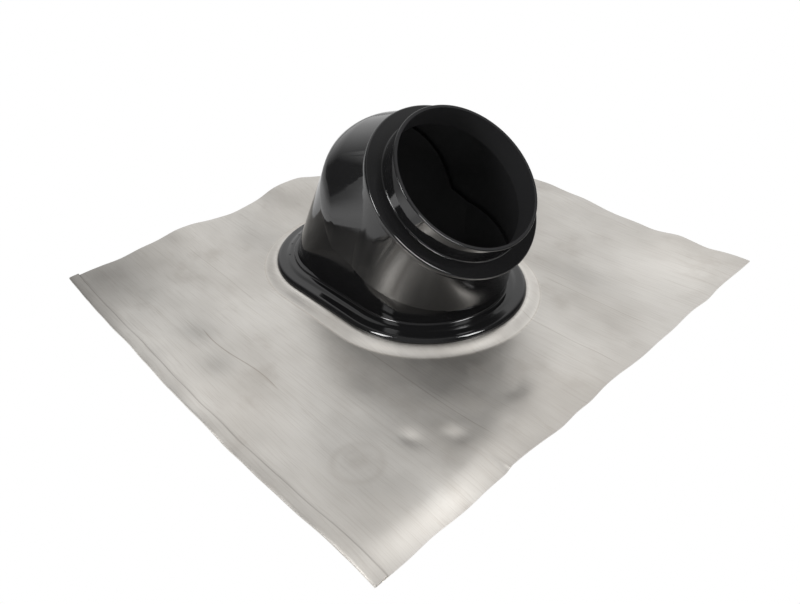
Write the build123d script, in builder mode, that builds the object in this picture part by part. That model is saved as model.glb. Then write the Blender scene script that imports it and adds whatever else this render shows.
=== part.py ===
"""Pitched roof flue seal: a soft aluminium flashing sheet that carries a black two-part cowl.

+Z is the normal of the sheet, +X points up the roof slope and +Y lies across it. The origin is in the
middle of the sheet's underside. Lengths are millimetres, angles are degrees.
"""
import os
from math import cos, exp, hypot, radians, sin

from build123d import *

# Flashing sheet
sheet_length = 468.0
sheet_width = 495.0
sheet_t = 1.0
hem_width = 8.0
hem_t = 1.1
edge_bow = 5.5
flat_margin = 10.0
ease_run = 60.0

# Soft bumps of the sheet: place and radii as shares of its half length and half width, height in thicknesses
sheet_swells = (
    (-0.04, 1, 0.36, 0.3, 11),
    (-1, 0.11, 0.3, 0.19, 14),
    (-1, -0.48, 0.26, 0.17, 7),
    (1, 1, 0.4, 0.38, 7),
    (-1, 1, 0.36, 0.34, 6),
    (1, -1, 0.28, 0.34, 4),
    (1, -0.47, 0.22, 0.14, 2.5),
    (-0.36, -1, 0.18, 0.22, 2.5),
)

# Pressed seat in the sheet, round the opening
seat_h = 4.7
seat_r = 106.0
seat_slope = 58.0
opening_r = 80.0

# Base flange, a slot shape along the slope
front_x = 34.5
straight = 82.8
flange_r = 95.4
flange_t = 5.6
flange_bevel = 2.6
step_r = 83.4
step_h = 1.6
foot_r = 80.6
foot_h = 4.2
foot_taper = 46.0
spigot_gap = 0.3
spigot_drop = 3.4

# Cowl: a bent barrel in front of a ball with a leaning skirt and a crown, heights above the base's step
tilt = 40.9
bend_r = 146.6
bend_rise = 8.1
bend_bands = 4
barrel_r = 79.0
dome_r = 77.0
dome_x = 0.0
dome_rise = 71.9
skirt_lean = 29.7
crown_rise = 17.0
hood_wall = 2.4
base_wall = 2.4
lap_gap = 0.2
lap = 9.0

# Rim of the hood: two planes that meet in a corner on each side
rim_x = -7.5
rim_rise = 48.1
rim_front = 16.8
rim_back = 24.6

# Shoulder ring and collar
ring_r = 82.0
ring_h = 5.0
ring_bevel = 0.8
collar_bore_r = 64.2
collar_wall = 3.0
collar_h = 20.9
shoulder_t = 2.6

# Heights that follow from the sizes above
seat_top = seat_h
flange_top = seat_top + flange_t
step_top = flange_top + step_h
slot_x = front_x - straight / 2
bend_x = front_x + bend_r
bend_z = step_top + bend_rise
dome_z = step_top + dome_rise
rim_z = step_top + rim_rise
base_low = step_top - 0.5 * step_h
reach = 2 * (sheet_length + sheet_width)
sheet_places = (-0.5, -0.41, -0.3, -0.16, 0, 0.16, 0.3, 0.41, 0.5)


def sheet_z(x, y):
    """Underside of the hand-bent sheet: flat round the seat, wavy and lifted towards the edges."""
    half_l = sheet_length / 2
    half_w = sheet_width / 2
    along = max(abs(x - slot_x) - straight / 2, 0)
    ease = min(max((hypot(along, y) - seat_r - flat_margin) / ease_run, 0), 1)
    ease = ease * ease * (3 - 2 * ease)
    lift = 0
    for cx, cy, rx, ry, height in sheet_swells:
        lift += height * sheet_t * exp(-(((x / half_l - cx) / rx) ** 2) - ((y / half_w - cy) / ry) ** 2)
    return lift * ease


def slot(radius):
    """Slot outline round the two end centres of the base, in the active sketch."""
    with Locations((slot_x, 0)):
        SlotCenterToCenter(straight, 2 * radius)


def sheet_section(x):
    """Closed section of the sheet across the slope at x, bowed a little outwards in mid length."""
    half = sheet_width / 2 - edge_bow * (2 * x / sheet_length) ** 2
    stations = [half * s for s in (-1, -0.88, -0.74, -0.58, -0.3, 0, 0.3, 0.58, 0.74, 0.88, 1)]
    under = [(y, sheet_z(x, y)) for y in stations]
    over = [(y, z + sheet_t) for y, z in reversed(under)]
    with BuildSketch(Plane.YZ.offset(x)) as section:
        with BuildLine():
            Spline(*under)
            Line(under[-1], over[0])
            Spline(*over)
            Line(over[-1], under[0])
        make_face()
    return section.sketch


def hem_section(x, side):
    """Section at x of the edge folded back on itself, on the side of that sign."""
    half = sheet_width / 2 - edge_bow * (2 * x / sheet_length) ** 2
    edge = side * (half + 0.3 * hem_t)
    inner = side * (half - hem_width)
    with BuildSketch(Plane.YZ.offset(x)) as section:
        with BuildLine():
            Polyline(
                (edge, sheet_z(x, edge) + 0.4 * sheet_t),
                (edge, sheet_z(x, edge) + sheet_t + hem_t),
                (inner, sheet_z(x, inner) + sheet_t + hem_t),
                (inner, sheet_z(x, inner) + 0.4 * sheet_t),
                close=True,
            )
        make_face()
    return section.sketch


def bend_plane(turn):
    """Plane across the barrel at a turn of its bend, facing along the barrel."""
    return Plane(
        origin=(bend_x - bend_r * cos(radians(turn)), 0, bend_z + bend_r * sin(radians(turn))),
        x_dir=(0, 1, 0),
        z_dir=(sin(radians(turn)), 0, cos(radians(turn))),
    )


def half_disc(radius, out, along):
    """Half disc round the dome's centre on the side that faces out, in a plane across the direction along."""
    with BuildSketch(Plane(origin=(dome_x, 0, dome_z), x_dir=out, z_dir=along)) as half:
        Circle(radius)
        Rectangle(2 * radius, 2 * radius, align=(Align.MAX, Align.CENTER), mode=Mode.SUBTRACT)
    return half.sketch


def back_form(inset, low):
    """Back of the cowl: part of a ball, the skirt below it, the crown in front of it and what fills them."""
    ball = dome_r - inset
    skirt_out = Vector(-cos(radians(skirt_lean)), 0, sin(radians(skirt_lean)))
    skirt_down = Vector(-sin(radians(skirt_lean)), 0, -cos(radians(skirt_lean)))
    crown_out = Vector(-sin(radians(crown_rise)), 0, cos(radians(crown_rise)))
    crown_along = Vector(cos(radians(crown_rise)), 0, sin(radians(crown_rise)))
    skirt_run = (dome_z - low) / cos(radians(skirt_lean)) + ball
    crown_run = 0.8 * ball
    dome = Vector(dome_x, 0, dome_z)
    corners = [dome, dome + crown_along * crown_run]
    corners += [bend_plane(part * tilt).origin for part in (0.92, 0.5, 0)]
    corners += [Vector(front_x, 0, low - ball), dome + skirt_down * skirt_run]
    skirt_end = half_disc(ball, skirt_out, skirt_down)
    with BuildPart() as form:
        extrude(skirt_end, amount=skirt_run)
        revolve(skirt_end, axis=Axis(dome, (0, 1, 0)), revolution_arc=90 - skirt_lean - crown_rise)
        extrude(half_disc(ball, crown_out, crown_along), amount=crown_run)
        with BuildSketch(Plane.XZ):
            with BuildLine():
                Polyline(*[(corner.X, corner.Z) for corner in corners], close=True)
            make_face()
        extrude(amount=ball, both=True)
    return form.part


def barrel_length(radius, band):
    """One straight length of the barrel, tangent to the bend and mitred where it meets its neighbours."""
    step = tilt / bend_bands
    with BuildPart() as length:
        with BuildSketch(bend_plane(band * step)):
            Circle(radius)
        extrude(amount=bend_r, both=True)
        if band > 0:
            split(bisect_by=bend_plane((band - 0.5) * step), keep=Keep.TOP)
        if band < bend_bands:
            split(bisect_by=bend_plane((band + 0.5) * step), keep=Keep.BOTTOM)
    return length.part


def cowl_form(inset, low, end_gap):
    """Solid form of the cowl, drawn in by inset all round, from height low to end_gap under the shoulder."""
    pieces = [back_form(inset, low)]
    pieces += [barrel_length(barrel_r - inset, band) for band in range(bend_bands + 1)]
    with BuildPart() as form:
        add(pieces)
        split(bisect_by=Plane.XY.offset(low), keep=Keep.TOP)
        split(bisect_by=shoulder.offset(-end_gap), keep=Keep.BOTTOM)
    return form.part


def rim_wedge(shift):
    """Side view of the space in front of both rim planes, each moved inwards by shift."""
    corner = Vector(rim_x, rim_z)
    along_front = Vector(cos(radians(rim_front)), -sin(radians(rim_front)))
    along_back = Vector(-sin(radians(rim_back)), cos(radians(rim_back)))
    step = shift / cos(radians(rim_front + rim_back))
    corner += along_front * step + along_back * step
    with BuildSketch(Plane.XZ) as wedge:
        with BuildLine():
            Polyline(
                corner,
                corner + along_front * reach,
                corner + along_front * reach + along_back * reach,
                corner + along_back * reach,
                close=True,
            )
        make_face()
    return wedge.sketch


# Plane of the shoulder, where the bend ends
shoulder = bend_plane(tilt)
collar_axis = Axis(shoulder.origin, shoulder.z_dir)

# Forms that the two mouldings share, each drawn in from the one before
hood_outer = cowl_form(0, step_top, 0)
hood_inner = cowl_form(hood_wall, step_top, shoulder_t)
base_outer = cowl_form(hood_wall + lap_gap, base_low, lap)
base_inner = cowl_form(hood_wall + lap_gap + base_wall, base_low, 0)

# Flashing sheet with its pressed seat, opening and folded side edges
with BuildPart() as sheet:
    loft([sheet_section(sheet_length * part) for part in sheet_places])
    for side in (-1, 1):
        loft([hem_section(sheet_length * part, side) for part in sheet_places])
    with BuildSketch(Plane.XY.offset(0.25 * sheet_t)):
        slot(seat_r + 1.2 * sheet_t)
    extrude(amount=seat_top - 0.25 * sheet_t, taper=seat_slope)
    with BuildSketch(Plane.XY.offset(-0.75 * sheet_t)):
        slot(seat_r + 1.2 * sheet_t)
    extrude(amount=seat_top - 0.25 * sheet_t, taper=seat_slope, mode=Mode.SUBTRACT)
    with BuildSketch():
        slot(opening_r)
    extrude(amount=2 * seat_top, both=True, mode=Mode.SUBTRACT)
sheet.part.label = "flashing_sheet"

# Base moulding: flange, raised step, foot, skirt and half dome, open under the hood
with BuildPart() as base:
    with BuildSketch(Plane.XY.offset(seat_top)):
        slot(flange_r)
    extrude(amount=flange_t)
    chamfer(edges().group_by(Axis.Z)[-1], flange_bevel)
    with BuildSketch(Plane.XY.offset(seat_top)):
        slot(step_r)
    extrude(amount=flange_t + step_h)
    with BuildSketch(Plane.XY.offset(step_top)):
        slot(foot_r)
    extrude(amount=foot_h, taper=foot_taper)
    with BuildSketch(Plane.XY.offset(seat_top)):
        slot(opening_r - spigot_gap)
    extrude(amount=-spigot_drop)
    add(base_outer)
    add(base_inner, mode=Mode.SUBTRACT)
    with BuildSketch(Plane.XY.offset(seat_top - 2 * spigot_drop)):
        slot(opening_r - spigot_gap - base_wall)
    extrude(amount=2 * spigot_drop + flange_t + step_h, mode=Mode.SUBTRACT)
    extrude(rim_wedge(lap), amount=reach, both=True, mode=Mode.SUBTRACT)
base.part.label = "base_moulding"

# Hood moulding: visor with its shoulder ring and collar
with BuildPart() as hood:
    with BuildSketch(shoulder.offset(-ring_h)):
        Circle(ring_r)
    extrude(amount=ring_h)
    with BuildSketch(shoulder):
        Circle(collar_bore_r + collar_wall)
    extrude(amount=collar_h)
    chamfer(edges().filter_by(GeomType.CIRCLE).sort_by(SortBy.RADIUS)[-2:].sort_by(collar_axis)[-1], ring_bevel)
    add(hood_outer)
    add(hood_inner, mode=Mode.SUBTRACT)
    with BuildSketch(shoulder.offset(-3 * shoulder_t)):
        Circle(collar_bore_r)
    extrude(amount=collar_h + 4 * shoulder_t, mode=Mode.SUBTRACT)
    extrude(rim_wedge(0), amount=reach, both=True, mode=Mode.INTERSECT)
hood.part.label = "hood_moulding"

os.makedirs("parts", exist_ok=True)
export_step(sheet.part, "parts/flashing_sheet.step")
export_step(base.part, "parts/base_moulding.step")
export_step(hood.part, "parts/hood_moulding.step")
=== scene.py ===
"""Looks of the pitched roof flue seal: hand-bent sheet, two glossy black mouldings and a studio."""
from math import cos, exp, hypot, pi, radians, sin

import bmesh
import bpy
from mathutils import Matrix, Vector, noise


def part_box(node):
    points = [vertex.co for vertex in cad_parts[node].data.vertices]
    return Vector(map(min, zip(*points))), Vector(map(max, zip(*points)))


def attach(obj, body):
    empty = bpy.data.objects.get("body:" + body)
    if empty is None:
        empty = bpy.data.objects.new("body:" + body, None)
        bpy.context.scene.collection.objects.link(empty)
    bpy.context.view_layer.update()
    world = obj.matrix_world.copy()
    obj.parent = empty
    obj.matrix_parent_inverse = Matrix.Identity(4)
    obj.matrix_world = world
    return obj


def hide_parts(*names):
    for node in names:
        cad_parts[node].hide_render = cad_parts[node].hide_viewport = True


bl_info = {
    "name": "Pitched Roof Flue Seal",
    "version": (1, 0, 0),
    "blender": (4, 5, 0),
    "location": "View3D > Sidebar > Flue Seal",
    "description": "Dresses a roof flue seal: hand-bent sheet, glossy cowl and studio stage",
    "category": "Object",
}

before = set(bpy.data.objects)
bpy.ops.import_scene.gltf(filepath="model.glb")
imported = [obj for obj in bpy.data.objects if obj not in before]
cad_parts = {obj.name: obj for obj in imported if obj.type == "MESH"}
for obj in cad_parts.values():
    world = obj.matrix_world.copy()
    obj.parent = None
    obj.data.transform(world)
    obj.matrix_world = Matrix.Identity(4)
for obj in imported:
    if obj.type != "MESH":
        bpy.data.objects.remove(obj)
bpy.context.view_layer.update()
SHEET_LOW, SHEET_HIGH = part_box("flashing_sheet")
MM = 0.001

# Points and steps of the round forms, and distances under which points count as one
ROUND = 160
BEND_STEPS = 26
BALL_STEPS = 22
MERGE = 1e-6
NEAR = 10 * MERGE
SLIVER = 0.02 * MM
RIM_SLIVER = 0.05 * MM

# Noise on the sheet: size in metres and layer
WIDE_NOISE = (0.055, 3.1)
FINE_NOISE = (0.024, 7.7)
EDGE_NOISE = (0.03, 1.3)
WANDER_NOISE = (0.04, 5.5)

# Where the sheet's forms start and over how far they grow
EDGE_START = 0.72
WAVES_GROW = 60 * MM
WANDER_START = 0.19
WANDER_GROW = 0.044
STRIP_GROW = 9 * MM
STRIP_ROUND = 2 * MM
SEAT_STRAIGHT = 0.55
SEAT_MARGIN = 3 * MM

# Fold of the near edge: steps out in metres and up in shares of its rise, and the painted shadow line
# along its inner edge
HEM_STEPS = ((0.3 * MM, 0.4), (0, 0.45), (-0.8 * MM, 0.15))
HEM_SHADOW_INSET = 0.8 * MM
HEM_SHADOW_WIDTH = (0.3 * MM, 1.1 * MM)

# Thin line along the seat's foot
FOOT_LINE_INSET = 0.5 * MM
FOOT_LINE_WIDTH = (0.2 * MM, 0.9 * MM)
FOOT_LINE_DEPTH = 0.4

# Scratches: shares of their width and half length that have the full depth
LINE_CORE = 0.3
LINE_FULL = 0.8

# Overruns of the cowl's forms: shares of the dome's radius and of the tilt, and lengths in metres
BARREL_PAST = radians(3)
CROWN_RUN = 0.8
BACK_TURNS = (0.92, 0.5, 0)
WEDGE_LONG = 0.3
WEDGE_HALF = 0.2
HOOD_SINK = 1.2 * MM
BASE_SINK = 0.3 * MM

# How squarely a face looks to count as on the rim or on a flat side, and angles in degrees
ON_RIM = 0.9999
ON_SIDE = 0.99999
SIDE_FACING = (0.9, 0.995)
SIDE_CREASE = 5
COWL_SMOOTH = 25
SHEET_SMOOTH = 40

# Rounded edges of the ring and collar
RING_ROUND = 1.6 * MM
RING_UNDER_ROUND = 0.4 * MM
COLLAR_FOOT_ROUND = 1.4 * MM
COLLAR_TOP_ROUND = 0.9 * MM

# Flange and step of the base: points of its arcs, and millimetres between the points of the step
FLANGE_CHAMFER = 0.4 * MM
RIM_POINTS = 9
STEP_PARTS = 8
STEP_SPACING = 0.8
FOOT_POINTS = 8
FOOT_COVER = 1.2

# Marks of the mould's pins: turns from the back in degrees, and their place in the step
PIN_TURNS = (26.4, 40.4, 55.9)
PIN_LINE = 82.2 * MM
PIN_DEPTH = 0.7 * MM
PIN_REACH = 2 * MM

# Shine of the walls, upper and lower, and where it changes; the base's lower shine is painted shade
# that darkens its wall low down
BASE_SHINE = (0.22, 0.1)
HOOD_SHINE = (0.5, 0.5)
FOOT_SHINE = 0.5
SHINE_HEIGHTS = (76 * MM, 90 * MM)
SHINE_FRONT = (20 * MM, 55 * MM)
FOOT_HEIGHTS = (MM, 5 * MM)

# Inside of the cowl: its black against the outside's, made lighter as painted light, and which faces
# look into it
INSIDE_PAINTED_LIFT = 2.6
INSIDE_FACING = 0.3
BORE_SLACK = 0.2 * MM
AXIS_PARTS = 6

# Floor under the sheet, and the white paper that reflections show round it
FLOOR_DROP = 0.0005
FOOTPRINT_INSET = {"X": 6 * MM, "Y": 10 * MM}
PAPER_REACH = (("X", 0.7), ("Y", 0.31))
PAPER_FADE = 1.2
PAPER_GLOW = 0.9

# Light from overhead: two heights of its direction, and the level at each
OVERHEAD = (0.72, 0.96, 0.07, 0.42)

# Bright patches of the world: azimuth and elevation in degrees, cosines of rim and middle, level
SCREENS = (
    ((132, 27), 0.56, 0.86, 0.87),
    ((-60, 25), 0.7, 0.95, 0.3),
)

# Lamps: name, azimuth and elevation in degrees, size in metres, power in watts
LAMPS = (
    ("lamp_left", (-97, 38), (0.34, 0.6), 13),
    ("lamp_right", (10, 44), (0.4, 0.5), 12),
)
LAMP_REACH = 1.4
LAMP_AIM = (0, 0, 0.05)


def length(label, words, value):
    """A length setting, in metres."""
    return bpy.props.FloatProperty(
        name=label, description=words, default=value, unit="LENGTH", precision=5
    )


def angle(label, words, degrees):
    """An angle setting, given in degrees."""
    return bpy.props.FloatProperty(
        name=label, description=words, default=radians(degrees), unit="ROTATION"
    )


def share(label, words, value):
    """A setting from nothing to all."""
    return bpy.props.FloatProperty(
        name=label, description=words, default=value, subtype="FACTOR", min=0, max=1
    )


def colour(label, words, value):
    """A colour setting."""
    return bpy.props.FloatVectorProperty(
        name=label, description=words, default=value, subtype="COLOR", size=3, min=0, max=1
    )


class FlueSheetSettings(bpy.types.PropertyGroup):
    """Sizes and colours of the flashing sheet."""

    length: length("Length", "Sheet's length up the slope", SHEET_HIGH.x - SHEET_LOW.x)
    width: length("Width", "Sheet's width across the slope, without its folds", 495 * MM)
    thickness: length("Thickness", "Thickness of the sheet", 1.0 * MM)
    edge_bow: length("Edge bow", "How far the side edges bow out in mid length", 5.5 * MM)
    hem_width: length("Hem width", "Width of the fold along the near side edge", 8 * MM)
    hem_rise: length("Hem rise", "Height of the folded edge over the sheet", 1.1 * MM)
    cell: length("Cell", "Size of the sheet's mesh cells", 3.2 * MM)
    seat_height: length("Seat height", "Height of the pressed seat", 4.7 * MM)
    seat_foot: length("Seat foot", "Distance of the seat's foot from the slot line", 109 * MM)
    seat_top: length("Seat top", "Distance of the seat's top edge from the slot line", 97 * MM)
    opening: length("Opening", "Radius of the opening's ends", 80 * MM)
    slot_front: length("Slot front", "X of the front end centre", 34.5 * MM)
    slot_back: length("Slot back", "X of the back end centre", -48.3 * MM)
    flat_margin: length("Flat margin", "Flat ground round the seat", 8 * MM)
    waves: length("Waves", "Height of the sheet's soft waves", 0.9 * MM)
    edge_waves: length("Edge waves", "Height of the waves along the edges", 2.4 * MM)
    strip_line: length("Strip line", "X of the bend along the upper edge", 212 * MM)
    strip_end: length("Strip end", "Y where the bent strip ends", -116 * MM)
    # Painted highlight: the seat's slope is drawn lighter, standing in for its brighter reflection
    seat_painted_sheen: share("Seat clean", "How much cleaner the metal of the seat's slope is", 0.24)
    edge_wander: length("Edge wander", "How far the upper edge wanders in and out", 2 * MM)
    corner_skew: length("Corner skew", "How far two corners are pulled up the slope", 4.5 * MM)
    strip_slope: share("Strip slope", "Fall of the bent strip over its width", 0.2)
    metal: colour("Metal", "Clean rolled aluminium", (0.66, 0.638, 0.602))
    dull: colour("Dull metal", "Smudged and weathered aluminium", (0.5, 0.476, 0.442))
    stain_and_shade: colour("Stain", "Dried water marks and creases", (0.36, 0.32, 0.28))


class FlueCowlSettings(bpy.types.PropertyGroup):
    """Sizes and finish of the two black mouldings."""

    flange_radius: length("Flange radius", "Radius of the flange's ends", 95.4 * MM)
    flange_low: length("Flange underside", "Height of the flange's underside", 4.7 * MM)
    flange_top: length("Flange top", "Height of the flange's band", 10.3 * MM)
    rim_round: length("Rim round", "Rounding of the flange's rolled rim", 4.8 * MM)
    step_radius: length("Step radius", "Radius of the raised step's ends", 83.4 * MM)
    step_top: length("Step top", "Height of the raised step", 11.9 * MM)
    foot_radius: length("Foot radius", "Radius where the wall's foot starts", 78.4 * MM)
    foot_round: length("Foot round", "Rounding of the wall's foot", 2.0 * MM)
    spigot_radius: length(
        "Spigot radius", "Radius of the rim that drops through the sheet", 79.7 * MM
    )
    spigot_low: length("Spigot underside", "Height of the spigot's lower edge", 1.3 * MM)
    base_low: length("Base low", "Height where the base's wall starts", 11.1 * MM)
    tilt: angle("Tilt", "Lean of the collar", 40.9)
    bend_radius: length("Bend radius", "Radius of the barrel's bend", 146.6 * MM)
    bend_height: length("Bend height", "Height where the bend starts", 20.0 * MM)
    barrel_radius: length("Barrel radius", "Radius of the barrel", 79.0 * MM)
    dome_radius: length(
        "Dome radius", "Radius of the dome and half the width of the flat sides", 77.0 * MM
    )
    dome_height: length("Dome height", "Height of the dome's centre", 83.8 * MM)
    skirt_lean: angle("Skirt lean", "Lean of the skirt at the back", 29.7)
    crown_rise: angle("Crown rise", "Rise of the crown towards the collar", 17.0)
    wall: length("Wall", "Thickness of both mouldings", 2.4 * MM)
    lap_gap: length("Lap gap", "Gap between hood and base in the lap", 0.2 * MM)
    lap: length("Lap", "How far the hood laps over the base", 9.0 * MM)
    rim_x: length("Rim corner x", "X of the hood's rim corners", -7.5 * MM)
    rim_height: length("Rim corner height", "Height of the hood's rim corners", 60.0 * MM)
    rim_front: angle("Rim front", "Fall of the rim towards the front", 16.8)
    rim_back: angle("Rim back", "Lean of the rim over the dome", 24.6)
    ring_radius: length("Ring radius", "Radius of the shoulder ring", 82.0 * MM)
    ring_height: length("Ring height", "Height of the shoulder ring", 5.0 * MM)
    bore_radius: length("Bore radius", "Radius of the collar's bore", 64.2 * MM)
    collar_radius: length("Collar radius", "Outer radius of the collar", 67.2 * MM)
    collar_height: length("Collar height", "Height of the collar over the ring", 20.9 * MM)
    shoulder: length("Shoulder", "Thickness of the shoulder inside the ring", 2.6 * MM)
    edge_round: length("Edge round", "Rounding of the moulded edges", 0.9 * MM)
    side_tip: share(
        "Side tip", "How far the flat sides' shading tips, up on the hood, down on the base", 0.12
    )
    pin_radius: length("Pin radius", "Radius of the pin marks in the step", 1.4 * MM)
    plastic: colour("Plastic", "Black of the mouldings", (0.0065, 0.0065, 0.0068))
    dust: colour("Dust", "Dust and rubbed marks on the black", (0.03, 0.029, 0.028))
    gloss_roughness: share("Gloss roughness", "Roughness of the clean gloss", 0.07)


class FlueStageSettings(bpy.types.PropertyGroup):
    """Camera, floor and lights."""

    camera_place: bpy.props.FloatVectorProperty(
        name="Camera place",
        description="Where the camera stands",
        default=(0.4022, -0.3695, 0.3519),
        subtype="TRANSLATION",
        precision=5,
    )
    azimuth: angle("Azimuth", "Heading of the view, from +Y towards -X", 47.7)
    elevation: angle("Elevation", "How far the view looks down", 35.31)
    roll: angle("Roll", "Turn of the camera about its view", 1.9)
    lens: bpy.props.FloatProperty(
        name="Lens",
        description="Focal length in millimetres",
        default=29.17,
        subtype="DISTANCE_CAMERA",
    )
    floor: colour("Floor", "Pale floor", (0.9, 0.9, 0.9))
    floor_size: length("Floor size", "Side of the floor", 12.0)


# Bent form of the sheet: centre x and y, radii along x and y and height, all in millimetres
SHEET_SWELLS = (
    (-9, 247.5, 84, 74, 11),
    (-234, 27, 70, 47, 14),
    (-234, -119, 61, 42, 7),
    (234, 247.5, 94, 94, 7),
    (-234, 247.5, 84, 84, 6),
    (234, -247.5, 66, 84, 4),
    (234, -116, 51, 35, 2.5),
    (-84, -247.5, 42, 54, 2.5),
)
# Dents and thumb marks: centre x and y, radii along x and y and height, all in millimetres
SHEET_DENTS = (
    (190, 66, 9, 6, 1.3),
    (214, 54, 9, 6, 1.3),
    (165, -147, 9, 6, -1.1),
    (186, -123, 9, 7, -1.1),
    (214, -75, 12, 9, 1.3),
    (227, -25, 10, 11, -1.5),
    (-64, -194, 18, 12, -1.2),
    (-8, -206, 16, 12, -1.4),
    (-54, -228, 18, 10, 1.0),
    (-158, -61, 34, 16, -1.2),
    (-120, -120, 30, 22, 0.9),
    (-51, -117, 20, 12, -0.7),
    (180, -59, 24, 14, -0.8),
    (134, 120, 40, 16, -0.9),
    (96, -196, 34, 20, 0.7),
    (-190, 120, 26, 20, -1.0),
    (60, 190, 30, 24, 0.9),
    (-110, 190, 30, 22, -1.0),
)
# Painted light and shade: lighter and darker patches of the metal's colour for brighter and darker
# reflections, and shade and highlights in some dents; centre x and y, radii along x and y in
# millimetres, change of tone
SHEET_LIGHT_PATCHES = (
    (-215, -225, 70, 60, -0.42),
    (-120, -200, 80, 40, -0.12),
    (224, -185, 12, 66, 0.55),
    (190, 215, 60, 60, 0.2),
    (40, -225, 60, 30, 0.16),
    (215, -20, 40, 60, 0.14),
    (150, -185, 50, 40, -0.14),
    (-60, -196, 22, 14, -0.2),
    (-8, -206, 18, 14, -0.22),
    (-165, -60, 60, 24, -0.16),
    (134, 120, 40, 18, -0.14),
    (180, -62, 26, 14, -0.16),
    (165, -147, 9, 5, 0.3),
    (186, -123, 8, 5, 0.3),
)
# Scratches along X: ends, y and sway, radians of sway per metre, width, all in metres, and depth
SHEET_LINES = (
    (-0.062, 0.056, -0.188, 0.003, 48, 0.0007, 0.75),
    (0.06, 0.215, -0.105, 0.0006, 30, 0.0006, 0.45),
    (0.12, 0.23, 0.028, 0.0005, 25, 0.0006, 0.35),
    (0.1, 0.22, 0.092, 0.0008, 21, 0.0007, 0.35),
    (-0.2, -0.06, -0.13, 0.001, 33, 0.0006, 0.3),
)
# Ring marks: centre x and y, radius and width, in metres, and depth
SHEET_RINGS = (
    (0.156, -0.19, 0.018, 0.004, 0.16),
    (0.156, -0.19, 0.002, 0.006, 0.2),
)


def make_active(piece):
    """Selects one piece alone."""
    bpy.ops.object.select_all(action="DESELECT")
    piece.select_set(True)
    bpy.context.view_layer.objects.active = piece


def open_edit(piece, kind, whole=False):
    """Goes into edit mode on a piece with nothing selected, or the whole piece."""
    make_active(piece)
    bpy.ops.object.mode_set(mode="EDIT")
    bpy.ops.mesh.select_mode(type=kind)
    bpy.ops.mesh.select_all(action="SELECT" if whole else "DESELECT")


def close_edit():
    """Comes back to object mode."""
    bpy.ops.object.mode_set(mode="OBJECT")


def choose(piece, elements, test):
    """Selects in edit mode the vertices, edges or faces that pass a test."""
    mesh = bmesh.from_edit_mesh(piece.data)
    bpy.ops.mesh.select_all(action="DESELECT")
    for element in getattr(mesh, elements):
        if test(element):
            element.select_set(True)
    bmesh.update_edit_mesh(piece.data)


def apply_modifier(piece, kind, **settings):
    """Adds a modifier with these settings and applies it."""
    modifier = piece.modifiers.new(kind.title(), kind)
    for name, value in settings.items():
        setattr(modifier, name, value)
    make_active(piece)
    bpy.ops.object.modifier_apply(modifier=modifier.name)


def settle():
    """Puts the active piece's place and turn into its mesh."""
    bpy.ops.object.transform_apply(location=True, rotation=True, scale=True)


def soften(piece, degrees):
    """Shades a piece smooth up to an angle and keeps its marked edges sharp."""
    make_active(piece)
    bpy.ops.object.shade_smooth_by_angle(angle=radians(degrees), keep_sharp_edges=True)


def slot_distance(x, y):
    """Distance of a point from the line between the slot's end centres."""
    sheet = bpy.context.scene.flue_sheet
    along = max(sheet.slot_back - x, x - sheet.slot_front, 0)
    return hypot(along, y)


def eased(value):
    """Smooth step from 0 to 1."""
    value = min(max(value, 0), 1)
    return value * value * (3 - 2 * value)


def swell(places, x, y):
    """Sum of soft round swells at a place; each has a centre, two radii and a height."""
    return sum(
        height * exp(-(((x / MM - cx) / rx) ** 2) - ((y / MM - cy) / ry) ** 2)
        for cx, cy, rx, ry, height in places
    )


def sheet_height(x, y):
    """Height of the sheet's top face at a place, in metres."""
    sheet = bpy.context.scene.flue_sheet
    away = slot_distance(x, y)
    edge = max(abs(x) * 2 / sheet.length, abs(y) * 2 / sheet.width)
    lift = swell(SHEET_SWELLS, x, y) * MM
    lift += sheet.waves * (0.5 + noise_at(x, y, *WIDE_NOISE) + 0.4 * noise_at(x, y, *FINE_NOISE))
    near_edge = eased((edge - EDGE_START) / (1 - EDGE_START))
    lift += sheet.edge_waves * near_edge * (0.4 + noise_at(x, y, *EDGE_NOISE))
    lift *= eased((away - sheet.seat_foot - sheet.flat_margin) / WAVES_GROW)
    lift += swell(SHEET_DENTS, x, y) * MM
    bent = max(x - sheet.strip_line, 0) * eased((sheet.strip_end - y) / STRIP_GROW)
    lift -= sheet.strip_slope * bent * bent / (bent + STRIP_ROUND)
    rise = min(max((sheet.seat_foot - away) / (sheet.seat_foot - sheet.seat_top), 0), 1)
    seat = sheet.seat_height * (SEAT_STRAIGHT * rise + (1 - SEAT_STRAIGHT) * eased(rise))
    return sheet.thickness + max(lift, 0) + seat


def sheet_light_paint(x, y):
    """Painted light and shade at a place: how much the metal's colour is raised or lowered, 1 for plain
    metal.
    """
    sheet = bpy.context.scene.flue_sheet
    # Painted highlight on the seat's slope, then the painted light and shade patches
    on_slope = sheet.seat_top < slot_distance(x, y) < sheet.seat_foot
    return 1 + (sheet.seat_painted_sheen if on_slope else 0) + swell(SHEET_LIGHT_PATCHES, x, y)


def noise_at(x, y, size, layer):
    """Smooth noise of a size over the sheet, between about -0.5 and 0.5."""
    return noise.noise(Vector((x / size, y / size, layer)))


def add_node(tree, kind, **settings):
    """Adds a shader node with these settings."""
    node = tree.nodes.new(kind)
    for name, value in settings.items():
        setattr(node, name, value)
    return node


def set_inputs(node, values):
    """Sets a node's plain inputs by their names."""
    for name, value in values.items():
        node.inputs[name].default_value = value


def new_material(name):
    """A material with its node tree and its surface shader."""
    material = bpy.data.materials.new(name)
    material.use_nodes = True
    return material, material.node_tree, material.node_tree.nodes["Principled BSDF"]


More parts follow.
